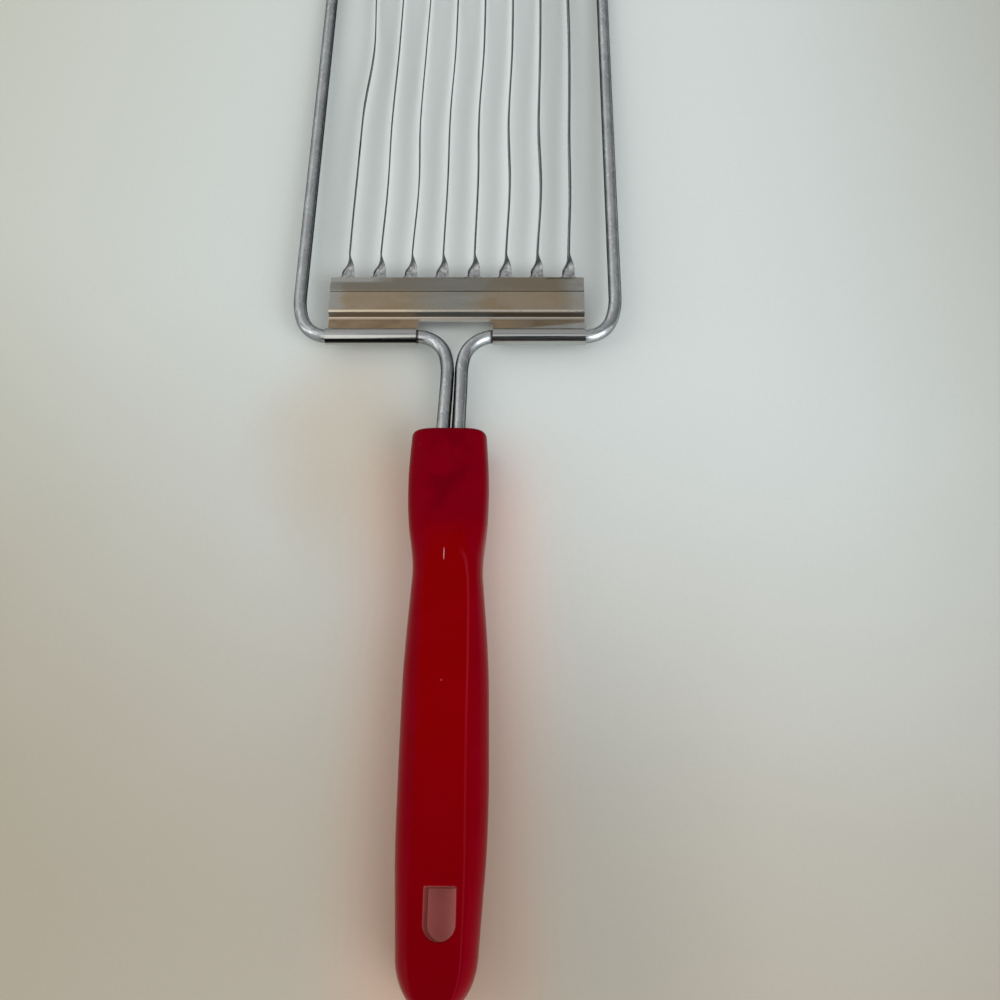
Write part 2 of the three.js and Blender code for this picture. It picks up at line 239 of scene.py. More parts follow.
def pale_laminate():
    """Cool white ahead. Painted shade makes it warmer and darker towards the viewer and to both
    sides, right of the handle and in the plate's cut-out. Painted red bounce light from the handle
    lies beside it, most of all under the hang hole, painted light lies between the blades, and a
    warmer, darker patch lies left of the neck."""
    material, shader, place = new_finish("pale_laminate")
    across, ahead, _ = parts_of(place)
    wander = maths("MULTIPLY_ADD", cloudy(place, 14.0), 0.03, -0.015)
    slanted = maths("MULTIPLY_ADD", across, table_slant, plus(ahead, wander))
    # Painted shade: warmer and darker towards the viewer.
    shade = mixed(eased(slanted, 0.02, -0.155), seen(*table_far_colour), seen(*table_near_colour))
    # Painted red bounce light from the handle, on the table beside it.
    handle_bounce_light = times(eased(gap(across), 0.03, 0.008), eased(ahead, -0.015, -0.045))
    # Painted shade on the table right of the handle.
    handle_shade = times(within(across, 0.006, 0.013, 0.03, 0.07), eased(ahead, -0.055, -0.11))
    # Painted shade on the table in the near plate's cut-out.
    cutout_shade = times(
        within(ahead, 0.0036, 0.0064, 0.01, 0.013), within(across, -0.012, -0.009, -0.004, 0.009)
    )
    # Painted light on the table between the blades.
    between_blades_light = times(eased(ahead, 0.017, 0.028), within(across, -0.036, -0.018, 0.012, 0.034))
    # A warmer, darker patch on the table left of the neck.
    from_neck_patch = plus(away_from(stretched(place, (1, 0.75, 1)), neck_patch_place), wander)
    for share, tint in (
        # Painted shade to both sides.
        (eased(across, -0.005, -0.2), left_painted_shade_tint),
        (eased(across, 0.06, 0.2), right_painted_shade_tint),
        (handle_bounce_light, handle_bounce_tint),
        (cutout_shade, cutout_shade_tint),
        (between_blades_light, between_blades_light_tint),
        (handle_shade, handle_shade_tint),
        (eased(from_neck_patch, 0.03, 0.008), neck_patch_tint),
    ):
        shade = tinted(share, shade, tint)
    # Painted red bounce light on the table under the hang hole.
    hole_bounce_light = times(eased(gap(across), 0.0062, 0.0048), eased(gap(ahead, -0.13), 0.0085, 0.0065))
    shade = mixed(hole_bounce_light, shade, hole_bounce_tint)
    fine = eased(cloudy(place, 1400.0, 3.0, 0.6), 0.2, 0.8, 0.985, 1.015)
    set_on(shader, {
        "Base Color": mixed(1.0, shade, place_at(fine, fine, fine), "MULTIPLY"),
        "Roughness": 0.5,
        "Specular IOR Level": 0.25,
    })
    return material


table_mesh = bpy.data.meshes.new("table")
table_edge = table_size / 2
table_corners = [(-1, -1), (1, -1), (1, 1), (-1, 1)]
table_mesh.from_pydata(
    [
        (x * table_edge, y * table_edge, (y * table_edge - handle_front_edge) * table_slope)
        for x, y in table_corners
    ],
    [],
    [(0, 1, 2, 3)],
)
table_mesh.materials.append(pale_laminate())
table = linked_piece("table", table_mesh)


def toward(azimuth, height):
    """The direction of a light, turned from +Y towards +X and raised above the table."""
    turn, rise = math.radians(azimuth), math.radians(height)
    return Vector(
        (math.sin(turn) * math.cos(rise), math.cos(turn) * math.cos(rise), math.sin(rise))
    )


def soft_lamp(name, azimuth, height, distance, width, depth, power, colour):
    """A square lamp that faces the slicer."""
    lamp = bpy.data.lights.new(name, "AREA")
    lamp.shape = "RECTANGLE"
    lamp.size = width
    lamp.size_y = depth
    lamp.energy = power
    lamp.color = seen(*colour)[:3]
    held = bpy.data.objects.new(name, lamp)
    held.location = toward(azimuth, height) * distance
    held.rotation_euler = (-held.location).to_track_quat("-Z", "Y").to_euler()
    bpy.context.collection.objects.link(held)


soft_lamp("ceiling_lamp", -92, 62, 1.4, 1.2, 0.9, 1.0, (252, 253, 255))
soft_lamp("window", 138, 38, 1.3, 0.75, 0.62, 4.6, (240, 247, 255))

room = bpy.data.worlds.new("room")
room.use_nodes = True
bpy.context.scene.world = room
facing = add(room.node_tree, "ShaderNodeTexCoord").outputs["Generated"]
side, ahead, up = parts_of(facing)


def glow(azimuth, height, reach, edge):
    """How much of a soft round patch of the room lies in this direction."""
    inputs = {0: facing, 1: toward(azimuth, height)}
    closeness = result("ShaderNodeVectorMath", inputs, "Value", operation="DOT_PRODUCT")
    return eased(closeness, math.cos(math.radians(reach)), math.cos(math.radians(edge)))


far_wall = mixed(eased(up, -0.05, 0.5), grey(0.16), grey(0.45))
far_wall = tinted(eased(side, -0.05, -0.6), far_wall, grey(1.8))
far_wall = tinted(eased(side, 0.1, 0.7), far_wall, grey(0.62))
near_wall = mixed(eased(side, -0.12, 0.0), (1.2, 1.19, 1.15, 1), (0.76, 0.79, 0.81, 1))
near_wall = mixed(eased(side, -0.22, -0.42), near_wall, grey(0.58))
wall_edge = minus(ahead, eased(side, -0.12, 0.0, -0.14, 0.06))
walls = mixed(eased(wall_edge, 0.0, -0.26), far_wall, near_wall)
from_beam = gap(ahead, 0.09)
from_slot = gap(plus(ahead, maths("MULTIPLY_ADD", side, 0.35, 0.513)))
viewer_edge = minus(ahead, eased(side, -0.18, -0.01, -0.84, -0.38))
room_colour = painted(
    walls,
    (eased(from_beam, 0.09, 0.04, 0.0, 0.55), grey(0.1)),
    (times(eased(from_slot, 0.14, 0.08), eased(side, -0.48, -0.6)), (1.75, 1.75, 1.72, 1)),
    (glow(140, 12, 32, 10), (1.7, 1.77, 1.85, 1)),
    (times(eased(gap(side, -0.15), 0.45, 0.3), eased(viewer_edge, 0.04, -0.04)), grey(0.03)),
)
set_on(room.node_tree.nodes["Background"], {"Color": room_colour, "Strength": room_strength})

# Frame wire
# One round steel wire, plated and worn satin, bent on a jig: from the handle it parts into the
# neck, runs out to both sides, turns up the two rails and closes across the far end.
wire_diameter = 0.0032
frame_reach = 0.147
corner_radius = 0.006
near_corner_radius = 0.007
near_corner_turn = math.radians(70)
near_corner_ease = 0.02
neck_radius = 0.0076
closing_radius = 0.022
neck_lean = math.radians(12)
tang_spread = math.radians(0.5)
tang_gap = 0.0001
neck_length = 0.0277
tang_depth = 0.07
rail_x = 0.03905
tang_steps = 40
sleeve_middle = -0.00033
sleeve_end = 0.00915
sway_distance = [
    0, 0.0061, 0.012, 0.017, 0.021, 0.0278, 0.035, 0.044, 0.052, 0.06, 0.07, 0.08, 0.095, 0.11,
    0.125, 0.135, 0.1477,
]
sway_right = [
    0, -0.00013, -0.00017, -0.00029, -0.00044, -0.0006, -0.00057, -0.0005, -0.00036, -0.00016,
    -0.00003, 0.00008, 0.0002, 0.00028, 0.00018, 0.00008, 0,
]
wire_sides = 32
wire_step = 0.0009
bend_steps = 24
wire_level = 0.0062
row_shift = -0.000675
wire_sharp_angle = math.radians(50)
wire_radius = wire_diameter / 2


def in_place(x, y, z):
    """From the plan, which starts at the near cross run of the wire, to the slicer's own frame."""
    return (x, y + row_shift, z + wire_level)


def smooth_through(places, values, place):
    """The height of a smooth curve through the given points."""
    last = len(places) - 1
    spot = min(max(sum(1 for each in places if each <= place) - 1, 0), last - 1)

    def slope(at):
        ends = [(low, low + 1) for low in (at - 1, at) if 0 <= low < last]
        rises = [(values[high] - values[low]) / (places[high] - places[low]) for low, high in ends]
        return sum(rises) / len(rises)

    span = places[spot + 1] - places[spot]
    share = (place - places[spot]) / span
    start, end = values[spot], values[spot + 1]
    rise, fall = slope(spot) * span, slope(spot + 1) * span
    curve = (2 * share**3 - 3 * share**2 + 1) * start + (share**3 - 2 * share**2 + share) * rise
    return curve + (3 * share**2 - 2 * share**3) * end + (share**3 - share**2) * fall


def sway(y):
    """How far the middle of the neck or the handle lies to the right of the frame's middle."""
    return smooth_through(sway_distance, sway_right, min(max(-y, 0), sway_distance[-1]))


closest_x = wire_radius + tang_gap / 2
closing_width = closing_radius * (1 - math.cos(neck_lean))
neck_run_x = closest_x + closing_width + neck_radius * math.cos(neck_lean)
closest_y = -closing_radius * math.sin(neck_lean) - neck_radius * (1 - math.sin(neck_lean))


def half_wire_plan(tang_end_y):
    """One side of the wire on the bending plan, from its end in the handle to the far middle."""
    x = closest_x + closing_radius * (1 - math.cos(tang_spread))
    y = closest_y - closing_radius * math.sin(tang_spread)
    tang_run = (y - tang_end_y) / math.cos(tang_spread)
    points = [(x + tang_run * math.sin(tang_spread), tang_end_y)]
    heading = -tang_spread

    def run(length):
        x, y = points[-1]
        points.append((x + length * math.sin(heading), y + length * math.cos(heading)))

    def turn(radius, angle):
        nonlocal heading
        part = angle / bend_steps
        chord = 2 * radius * math.sin(abs(part) / 2)
        for _ in range(bend_steps):
            x, y = points[-1]
            middle = heading + part / 2
            points.append((x + chord * math.sin(middle), y + chord * math.cos(middle)))
            heading += part

    for _ in range(tang_steps):
        run(tang_run / tang_steps)
    turn(closing_radius, tang_spread + neck_lean)
    turn(neck_radius, math.pi / 2 - neck_lean)
    tight = math.sin(near_corner_turn)
    run(rail_x - near_corner_radius * tight - near_corner_ease * (1 - tight) - neck_run_x)
    turn(near_corner_radius, -near_corner_turn)
    turn(near_corner_ease, near_corner_turn - math.pi / 2)
    run(frame_reach - corner_radius - points[-1][1])
    turn(corner_radius, -math.pi / 2)
    run(rail_x - corner_radius)
    return points


def new_tree(name, inputs):
    """An empty geometry node tree, with the identifiers of its named inputs."""
    tree = bpy.data.node_groups.new(name, "GeometryNodeTree")
    named = {}
    for label, kind in {"Geometry": "Geometry", **inputs}.items():
        socket = tree.interface.new_socket(label, in_out="INPUT", socket_type="NodeSocket" + kind)
        named[label] = socket.identifier
    tree.interface.new_socket("Geometry", in_out="OUTPUT", socket_type="NodeSocketGeometry")
    return tree, named, add(tree, "NodeGroupInput").outputs


def kept(tree, curve, source, output, kind):
    """A curve that keeps a value on its points, for use after it has become a mesh."""
    capture = tree.nodes.new("GeometryNodeCaptureAttribute")
    capture.capture_items.new(kind, "kept")
    set_on(capture, {0: curve, 1: add(tree, "GeometryNode" + source).outputs[output]})
    return capture.outputs[0], capture.outputs[1]


def stepped(tree, curve, step):
    """A curve cut into even steps, with the distance along it."""
    evenly = result("GeometryNodeResampleCurve", {"Curve": curve, "Length": step}, mode="LENGTH")
    return kept(tree, evenly, "SplineParameter", "Length", "FLOAT")


def swept_along(path, section):
    inputs = {"Curve": path, "Profile Curve": section, "Fill Caps": True}
    return result("GeometryNodeCurveToMesh", inputs)


def end_tree(tree, mesh, name, place, finish):
    """Stores a place on the mesh for its finish, and ends the tree with the mesh realized."""
    stored = {"Geometry": mesh, "Name": name, "Value": place}
    stored = result("GeometryNodeStoreNamedAttribute", stored, data_type="FLOAT_VECTOR")
    real = result("GeometryNodeRealizeInstances", {"Geometry": stored})
    finished = result("GeometryNodeSetMaterial", {"Geometry": real, "Material": finish})
    add(tree, "NodeGroupOutput", {0: finished})


def formed(name, plan, tree, named, values):
    """The plain mesh that a tree makes from a plan curve and its input values."""
    rough = bpy.data.objects.new(name + "_plan", plan)
    bpy.context.collection.objects.link(rough)
    former = rough.modifiers.new(tree.name, "NODES")
    former.node_group = tree
    for label, value in values.items():
        former[named[label]] = value
    mesh = settled(rough, preserve_all_data_layers=True)
    mesh.name = name
    return mesh


def curve_through(name, points, closed=False):
    """A plain curve through points, as the plan of a piece."""
    plan = bpy.data.curves.new(name, "CURVE")
    plan.dimensions = "3D"
    line = plan.splines.new("POLY")
    line.points.add(len(points) - 1)
    for point, place in zip(line.points, points):
        point.co = (*place, 1)
    line.use_cyclic_u = closed
    return plan


def bent_wire_tree():
    """Sweeps a round section along the plan, and keeps each place as on the straight wire."""
    tree, named, given = new_tree("bent_wire", {
        "Wire diameter": "Float",
        "Sides": "Int",
        "Step": "Float",
        "Finish": "Material",
    })
    path, along = stepped(tree, given["Geometry"], given["Step"])
    half = maths("DIVIDE", given["Wire diameter"], 2)
    outline = {"Resolution": given["Sides"], "Radius": half}
    section = result("GeometryNodeCurvePrimitiveCircle", outline)
    section, around = kept(tree, section, "InputPosition", 0, "VECTOR")
    swept = swept_along(path, section)
    across, rise, _ = parts_of(around)
    end_tree(tree, swept, "straightened", place_at(across, rise, along), given["Finish"])
    return tree, named


def stored_place(shader, name):
    """The place that the piece's own tree stored under this name."""
    return add(shader.id_data, "ShaderNodeAttribute", attribute_name=name).outputs["Vector"]


def worn_plating():
    """Dull plating, brighter on top and darker down its sides, with drawing lines along the wire,
    light flecks and small dark pits, and grime at the sleeves' ends and where the two sides of
    the neck touch."""
    material, shader, on_piece = new_finish("worn_plating")
    place = stored_place(shader, "straightened")
    from_side, _, _ = parts_of(place)
    across, ahead, _ = parts_of(on_piece)
    lines = cloudy(stretched(place, (1, 1, 0.03)), 5200.0, 2.0, 0.6)
    scuffs = cloudy(stretched(place, (1, 1, 0.35)), 900.0, 4.0, 0.62, 0.4)
    clouds = cloudy(place, 160.0, 3.0, 0.55)
    pits = eased(cloudy(place, 1500.0, 1.0, 0.4), 0.74, 0.8)
    fleck_cloud = cloudy(stretched(place, (1, 1, 0.5)), 1100.0, 3.0, 0.6, 0.5)
    # Darker down the sides of the wire, less so on the near cross run.
    side_darkening = times(eased(gap(from_side), 0.0011, 0.00155), eased(gap(ahead), 0.009, 0.005, 0.9, 0.25))
    from_sleeve = gap(gap(across, sleeve_middle), sleeve_end)
    near_run = within(ahead, -0.0035, -0.003, 0.002, 0.003)
    grime = times(eased(from_sleeve, 0.0006, 0.0002), near_run)
    squeezed = times(eased(gap(across), 0.0007, 0.0003), eased(ahead, -0.009, -0.012))
    metal = painted(
        mixed(eased(clouds, 0.3, 0.75), seen(178, 182, 184), seen(198, 201, 202)),
        (eased(fleck_cloud, 0.52, 0.68, 0.0, 0.7), seen(222, 226, 228)),
        (side_darkening, seen(70, 74, 76)),
        (pits, seen(84, 78, 74)),
        (times(maths("MAXIMUM", grime, squeezed), 0.85), seen(52, 36, 30)),
    )
    heights = plus(times(lines, 0.5), times(scuffs, 0.8))
    worn = maths("MULTIPLY_ADD", clouds, 0.5, scuffs)
    set_on(shader, {
        "Base Color": metal,
        "Metallic": 1.0,
        "Roughness": eased(worn, 0.45, 1.05, 0.15, 0.32),
        "Specular Tint": (0.25, 0.26, 0.27, 1.0),
        "Normal": bumped(maths("MULTIPLY_ADD", pits, -1.5, heights), 0.3, 0.00003),
    })
    return material


right_half = half_wire_plan(-neck_length - tang_depth)
whole_wire = right_half + [(-x, y) for x, y in reversed(right_half[:-1])]
wire_plan = curve_through("wire_plan", [in_place(x + sway(y), y, 0) for x, y in whole_wire])
wire_tree, wire_named = bent_wire_tree()
wire_mesh = formed("bent_wire", wire_plan, wire_tree, wire_named, {
    "Wire diameter": wire_diameter,
    "Sides": wire_sides,
    "Step": wire_step,
    "Finish": worn_plating(),
})
smooth_up_to(wire_mesh, wire_sharp_angle)
bent_wire = linked_piece("bent_wire", wire_mesh)
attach(bent_wire, "root")
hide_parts("frame_wire")

# Handle
# A solid handle moulded in glossy deep red plastic round both ends of the wire, with a dished
# thumb rest, a waist, flat faces and a square-ended hang hole. The gate left a small nib where
# the flat face begins, painted pale as a highlight. The thumb rest is dull and smudged, and
# painted darker as shade.
handle_length = 0.12
handle_width = 0.0184
handle_thickness = 0.0124
swell_thickness = 0.0152
flat_softness = 0.00022
front_round = 0.0013
tail_length = 0.01
tail_edge_radius = 0.0042
tip_flat = 0.0001
bore_clearance = 0.00015
bore_mouth = 0.0035
hole_width = 0.0062
hole_length = 0.0097
hole_distance = 0.0128
hole_corner_radius = 0.0004
hole_offset = 0.00055
hole_rim = 0.0003
hole_middle_y = -0.13072
nib_length = 0.0032
nib_width = 0.00032
nib_height = 0.00013
nib_distance = 0.0309
nib_across = -0.0007
chips = [
    ((-0.0004, -0.0867, 0.0124), 0.0003, (170, 60, 60)),
    ((0.0086, -0.1102, 0.0077), 0.0008, (198, 120, 116)),
    ((0.0000, -0.0292, 0.0104), 0.0007, (156, 92, 70)),
    ((0.0009, -0.0294, 0.0107), 0.0005, (150, 84, 64)),
]
handle_sides = 144
handle_steps = 190
round_steps = 10
hole_steps = 24
corner_steps = 6
nib_steps = 24
nib_sides = 16
handle_sharp_angle = math.radians(40)
outline_along = [0, 0.08, 0.14, 0.19, 0.25, 0.28, 0.32, 0.38, 0.46, 0.56, 0.68, 0.76, 0.84, 0.92, 1]
outline_width = [
    0.93, 0.983, 0.98, 0.943, 0.85, 0.836, 0.868, 0.924, 0.978, 0.996, 1, 0.978, 0.918, 0.852, 0.8,
]
height_along = [0, 0.05, 0.13, 0.2, 0.2414, 0.27, 0.32, 0.42, 0.55, 0.7, 0.85, 1]
height_share = [0.811, 0.795, 0.754, 0.775, 0.816, 0.871, 0.914, 0.934, 0.941, 0.947, 0.98, 1]
square_along = [0, 0.15, 0.26, 0.4, 1]
square_power = [4.2, 4, 3, 2.3, 2.2]


def flattened(height):
    """Cuts a height off at the flat face, with a small roundness where the two meet."""
    flat = handle_thickness / 2
    over = max(flat_softness - abs(abs(height) - flat), 0) / flat_softness
    low = min(abs(height), flat) - over * over * flat_softness / 4
    return math.copysign(low, height)


def inset(radius, distance):
    """How far a rounded edge stands in at this distance from the end."""
    return radius - math.sqrt(radius**2 - max(radius - distance, 0) ** 2)


def handle_ring(distance):
    """The handle's section, this far from its front: a rounded box with a flat top and bottom."""
    share = distance / handle_length
    width = smooth_through(outline_along, outline_width, share) * handle_width / 2
    height = smooth_through(height_along, height_share, share) * swell_thickness / 2
    power = smooth_through(square_along, square_power, share)
    from_tip = max(handle_length - distance, tip_flat)
    front_inset = inset(front_round, distance)
    tail_share = math.sqrt(1 - max(1 - from_tip / tail_length, 0) ** 2)
    half_width = width * tail_share - front_inset
    half_height = height - front_inset - inset(tail_edge_radius, from_tip)
    y = -neck_length - distance
    middle_x = sway(y)
    ring = []
    for step in range(handle_sides):
        angle = (step + 0.5) / handle_sides * 2 * math.pi
        across = math.copysign(abs(math.cos(angle)) ** (2 / power), math.cos(angle)) * half_width
        rise = math.copysign(abs(math.sin(angle)) ** (2 / power), math.sin(angle)) * half_height
        ring.append((middle_x + across, y, flattened(rise)))
    return ring


def handle_stations():
    """Stations along the handle, close together over the front edge and over the tail."""
    quarter = math.pi / 2
    turns = [step / round_steps * quarter for step in range(round_steps)]
    stations = [front_round * (1 - math.cos(turn)) for turn in turns]
    body = handle_length - front_round - tail_length
    stations += [front_round + body * step / handle_steps for step in range(handle_steps)]
    tail_steps = 3 * round_steps
    stations += [
        handle_length - tail_length * (1 - math.sin(step / tail_steps * quarter))
        for step in range(tail_steps)
    ]
    return stations + [handle_length]


def skin_over(name, rings):
    """A closed skin over rings of points, as a mesh with its faces outwards."""
    mesh = bpy.data.meshes.new(name)
    sides = len(rings[0])
    faces = []
    for ring in range(len(rings) - 1):
        for step in range(sides):
            here, beside = ring * sides + step, ring * sides + (step + 1) % sides
            faces.append((here, here + sides, beside + sides, beside))
    faces.append(tuple(range(sides)))
    faces.append(tuple(reversed(range((len(rings) - 1) * sides, len(rings) * sides))))
    mesh.from_pydata([in_place(*point) for ring in rings for point in ring], [], faces)
    shape = bmesh.new()
    shape.from_mesh(mesh)
    bmesh.ops.recalc_face_normals(shape, faces=shape.faces)
    shape.to_mesh(mesh)
    shape.free()
    return mesh


def arc(x, y, radius, start, turn, steps):
    """Points on an arc about (x, y), from the start angle on."""
    angles = [start + turn * step / steps for step in range(steps + 1)]
    return [(x + radius * math.cos(angle), y + radius * math.sin(angle)) for angle in angles]


def hole_outline(outset):
    """The hang hole seen from above, each side moved outwards: square ahead, round behind."""
    radius = hole_width / 2 + outset
    corner = hole_corner_radius + outset
    round_end_y = -neck_length - handle_length + hole_distance + hole_width / 2
    square_y = round_end_y + hole_length - hole_width / 2 - hole_corner_radius
    inner = hole_width / 2 - hole_corner_radius
    middle_x = sway(round_end_y) + hole_offset
    points = arc(middle_x, round_end_y, radius, math.pi, math.pi, hole_steps)
    for start, across in ((0, inner), (math.pi / 2, -inner)):
        points += arc(middle_x + across, square_y, corner, start, math.pi / 2, corner_steps)
    return points


def hole_cutter():
    """What the hang hole takes away, flared at both ends to leave a rounded rim."""
    flat = handle_thickness / 2
    levels = [(-flat - hole_rim, hole_rim)]
    for step in range(corner_steps + 1):
        angle = math.pi / 2 * step / corner_steps
        levels.append((-flat + hole_rim * (1 - math.cos(angle)), hole_rim * (1 - math.sin(angle))))
    levels += [(-height, outset) for height, outset in reversed(levels)]
    rings = [[(x, y, height) for x, y in hole_outline(outset)] for height, outset in levels]
    return skin_over("hole_cutter", rings)


def cut_away(mesh, cutters, operation="DIFFERENCE"):
    """Takes the cutters' shapes out of a mesh, or adds them to it."""
    body = linked_piece(mesh.name + "_uncut", mesh)
    tools = []
    for cutter in cutters:
        tool = linked_piece(cutter.name, cutter)
        cut = body.modifiers.new(cutter.name, "BOOLEAN")
        cut.operation = operation
        cut.solver = "EXACT"
        cut.object = tool
        tools.append(tool)
    left_over = settled(body)
    for tool in tools:
        bpy.data.objects.remove(tool)
    return left_over


def round_bar(name, x, ends, radius):
    """A straight round bar along the plan, at this distance from its middle."""
    turns = [2 * math.pi * step / wire_sides for step in range(wire_sides)]
    rings = [
        [(x + radius * math.cos(turn), y, radius * math.sin(turn)) for turn in turns]
        for y in ends
    ]
    return skin_over(name, rings)


def gate_nib():
    """The low ridge where the gate was broken off, half sunk in the flat face."""
    turns = [2 * math.pi * side / nib_sides for side in range(nib_sides)]
    rings = []
    for step in range(1, nib_steps):
        angle = math.pi * step / nib_steps
        y = -neck_length - nib_distance + nib_length / 2 * math.cos(angle)
        girth = math.sin(angle) ** 0.6
        half_width, half_height = nib_width / 2 * girth, nib_height * girth
        top = handle_thickness / 2
        rings.append([
            (nib_across + half_width * math.cos(turn), y, top + half_height * math.sin(turn))
            for turn in turns
        ])
    return skin_over("gate_nib", rings)


def glossy_red_plastic():
    """Deep red moulded plastic, painted darker towards the tail as shade and a little more crimson
    on its rounded sides as a painted reflection. The thumb rest is smudged and painted darker as
    shade. Painted highlights lie along the right edge of the flat face and on the nib, and a
    painted reflection on the hang hole's wall, with fine scratches and a few chips."""
    material, shader, place = new_finish("glossy_red_plastic")
    across, along, rise = parts_of(place)
    clouds = cloudy(place, 130.0, 3.0, 0.55)
    clouded = eased(clouds, 0.3, 0.7)
    from_flat = gap(rise, wire_level)
    rounded = eased(from_flat, 0.00615, 0.0055)
    thumb = eased(along, -0.056, -0.046)
    smudge = eased(cloudy(place, 150.0, 4.0, 0.6, 0.5), 0.3, 0.7)
    flat_red = mixed(clouded, seen(138, 1, 1), seen(141, 1, 6))
    # Painted shade: darker towards the tail.
    flat_red = mixed(eased(along, -0.09, -0.148, 0.0, 0.6), flat_red, seen(109, 0, 14))
    # Painted reflection: the rounded sides a little more crimson than the flat faces.
    round_red_sheen = mixed(clouded, seen(134, 0, 15), seen(138, 0, 20))
    pressed = eased(gap(across, -0.0005), 0.007, 0.003, 0.25, 1.0)
    # Painted shade darkens the thumb rest, most where it is smudged near its middle.
    thumb_shade_and_smudge = mixed(times(smudge, pressed), seen(130, 0, 18), seen(111, 0, 16))
    scuffed = eased(cloudy(place, 2100.0, 1.0, 0.4), 0.8, 0.85, 0.0, 0.5)
    # A painted highlight along the right edge of the flat face.
    rim = times(
        within(from_flat, 0.00606, 0.00612, 0.00617, 0.006196),
        eased(across, 0.002, 0.004),
        eased(along, -0.1, -0.085, 0.12, 0.2),
        eased(along, -0.055, -0.062),
    )
    # A painted pale pink reflection on the hang hole's wall.
    hole_wall_sheen = times(
        eased(gap(across, hole_offset), 0.0036, 0.0034),
        eased(gap(along, hole_middle_y), 0.0054, 0.0052),
        eased(from_flat, 0.00605, 0.0057, 0.0, 0.6),
    )
    chipped = [
        (eased(away_from(place, spot), size, size / 2, 0.0, 0.75), seen(*colour))
        for spot, size, colour in chips
    ]
    red = painted(
        mixed(thumb, mixed(rounded, flat_red, round_red_sheen), thumb_shade_and_smudge),
        (scuffed, seen(176, 84, 84)),
        (rim, seen(186, 56, 84)),
        *chipped,
        # The nib painted pale, as a highlight.
        (eased(rise, 0.01246, 0.01251, 0.0, 0.75), seen(222, 160, 160)),
        (hole_wall_sheen, seen(214, 118, 110)),
    )
    scratches = cloudy(stretched(place, (1, 0.06, 1)), 3400.0, 2.0, 0.55)
    ripple = cloudy(place, 420.0, 2.0, 0.5)
    wear = maths("MULTIPLY_ADD", thumb, 0.12, times(scratches, 0.08))
    set_on(shader, {
        "Base Color": red,
        "Roughness": plus(wear, eased(clouds, 0.3, 0.7, 0.14, 0.22)),
        "Specular IOR Level": 0.09,
        "Specular Tint": (1.0, 0.0, 0.12, 1.0),
        "Normal": bumped(maths("MULTIPLY_ADD", scratches, 0.25, times(ripple, 1.2)), 0.1, 0.0001),
    })
    return material


handle_rings = [handle_ring(distance) for distance in handle_stations()]
bore_x = closest_x + (neck_length + closest_y) * math.tan(tang_spread)
bore_radius = wire_radius + bore_clearance
bore_ends = (-neck_length + bore_mouth, -neck_length - bore_mouth)
bores = [
    round_bar("bore", sway(-neck_length) + sign * bore_x, bore_ends, bore_radius)
    for sign in (-1, 1)
]
grip_mesh = cut_away(skin_over("moulded_handle", handle_rings), [hole_cutter(), *bores])
grip_mesh = cut_away(grip_mesh, [gate_nib()], "UNION")
grip_mesh.materials.clear()
grip_mesh.materials.append(glossy_red_plastic())
smooth_up_to(grip_mesh, handle_sharp_angle)
moulded_handle = linked_piece("moulded_handle", grip_mesh)
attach(moulded_handle, "root")
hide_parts("handle")

# End plates
# The two ends of the blade unit's stainless stamping. Each plate is creased, steps down to pass
# under the wire, and is rolled round it. The near one is cut open where the neck leaves. Heat and
# juice have stained them straw brown, and their ends stay silver.
sheet_thickness = 0.00035
plate_width = 0.0633
plate_offset = -0.0002
plate_reach = 0.0173
crease_distance = 0.0038
crease_drop = 0.0002
crease_bend = 0.00018
step_distance = 0.0071
step_run = 0.0006
step_bend = 0.00045
roll_clearance = 0.0001
lip_angle = math.radians(20)
cutout_margin = 0.00005
cutout_short = 0.00065
cutout_depth = 0.0055
cutout_corner = 0.0006
far_plate_shift = 0.0015
far_row = frame_reach + 2 * row_shift
edge_round = 0.00007
edge_round_angle = math.radians(55)
plate_sharp_angle = math.radians(20)
neck_middle = -0.0006
crease_steps = 4
bend_stations = 10
roll_steps = 72
cutout_steps = 8
crease_line = 0.01258
fold_line = 0.00694
wall_line = 0.0064
foot_line = 0.00572
roll_radius = wire_radius + roll_clearance + sheet_thickness / 2


def bent_corner(before, corner, after, radius, steps):
    """Points on the arc that takes the place of a sharp corner in the section."""
    before, corner, after = Vector(before), Vector(corner), Vector(after)
    into, out = (corner - before).normalized(), (after - corner).normalized()
    turn = math.atan2(into.x * out.y - into.y * out.x, into.dot(out))
    start = corner - into * radius * math.tan(abs(turn) / 2)
    centre = start + Vector((-into.y, into.x)) * math.copysign(radius, turn)
    arm = start - centre
    points = []
    for step in range(steps + 1):
        angle = turn * step / steps
        points.append((
            centre.x + arm.x * math.cos(angle) - arm.y * math.sin(angle),
            centre.y + arm.x * math.sin(angle) + arm.y * math.cos(angle),
        ))
    return points


def plate_line():
    """The middle line of the sheet, as (Y, Z): from the blades, over the crease, down the step,
    and round the wire to the lip."""
    crease_y = plate_reach - crease_distance
    start, crease = (plate_reach, 0), (crease_y, 0)
    crease_foot = (crease_y - crease_drop, -crease_drop)
    step_top = (step_distance + step_run / 2, -crease_drop)
    step_foot = (step_distance - step_run / 2, -roll_radius)
    line = [start]
    line += bent_corner(start, crease, crease_foot, crease_bend, crease_steps)
    line += bent_corner(crease, crease_foot, step_top, crease_bend, crease_steps)
    line += bent_corner(crease_foot, step_top, step_foot, step_bend, bend_stations)
    line += bent_corner(step_top, step_foot, (0, -roll_radius), step_bend, bend_stations)
    roll_turn = lip_angle - 2 * math.pi + math.pi / 2
    return line + arc(0, 0, roll_radius, -math.pi / 2, roll_turn, roll_steps)


